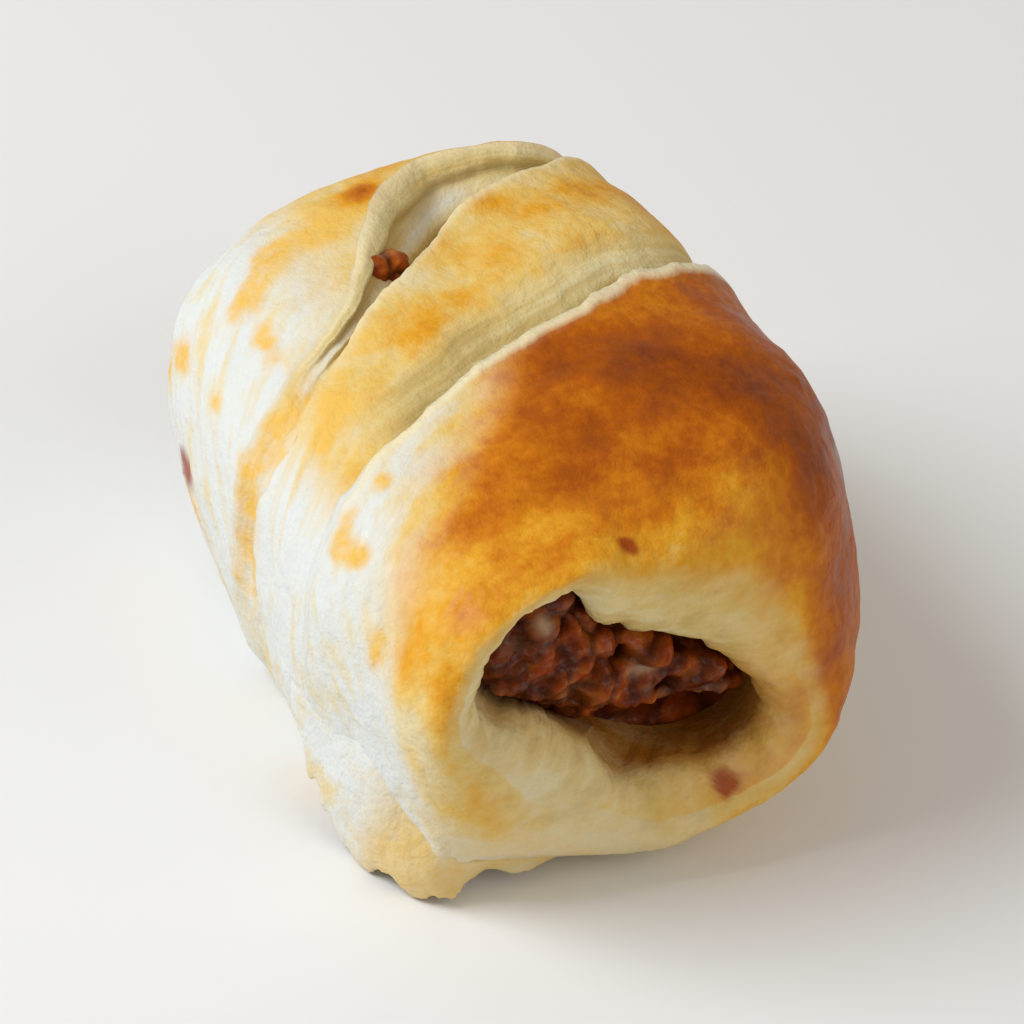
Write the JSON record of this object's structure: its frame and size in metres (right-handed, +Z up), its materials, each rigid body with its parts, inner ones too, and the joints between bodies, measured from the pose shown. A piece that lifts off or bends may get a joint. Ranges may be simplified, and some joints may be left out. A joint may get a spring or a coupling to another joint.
{
  "type": "sausage roll",
  "caption": "Small baked sausage roll: slashed golden puff pastry wrapped round sausage meat that shows at both open ends.",
  "frame": {"origin": "Middle of the flat underside, at the bottom centre of the bounding box.", "axes": "+Y along the roll from its front end to its rear end, +X to the right as seen from the front end, +Z up."},
  "size_m": [0.0506, 0.0628, 0.0385],
  "materials": {
    "baked_pastry": "egg-washed puff pastry, golden brown on top and pale on the flanks",
    "sausage_meat": "moist coarse minced sausage meat"
  },
  "bodies": {
    "root": {"pastry_wrap": "baked_pastry", "sausage_meat": "sausage_meat"}
  },
  "joints": []
}
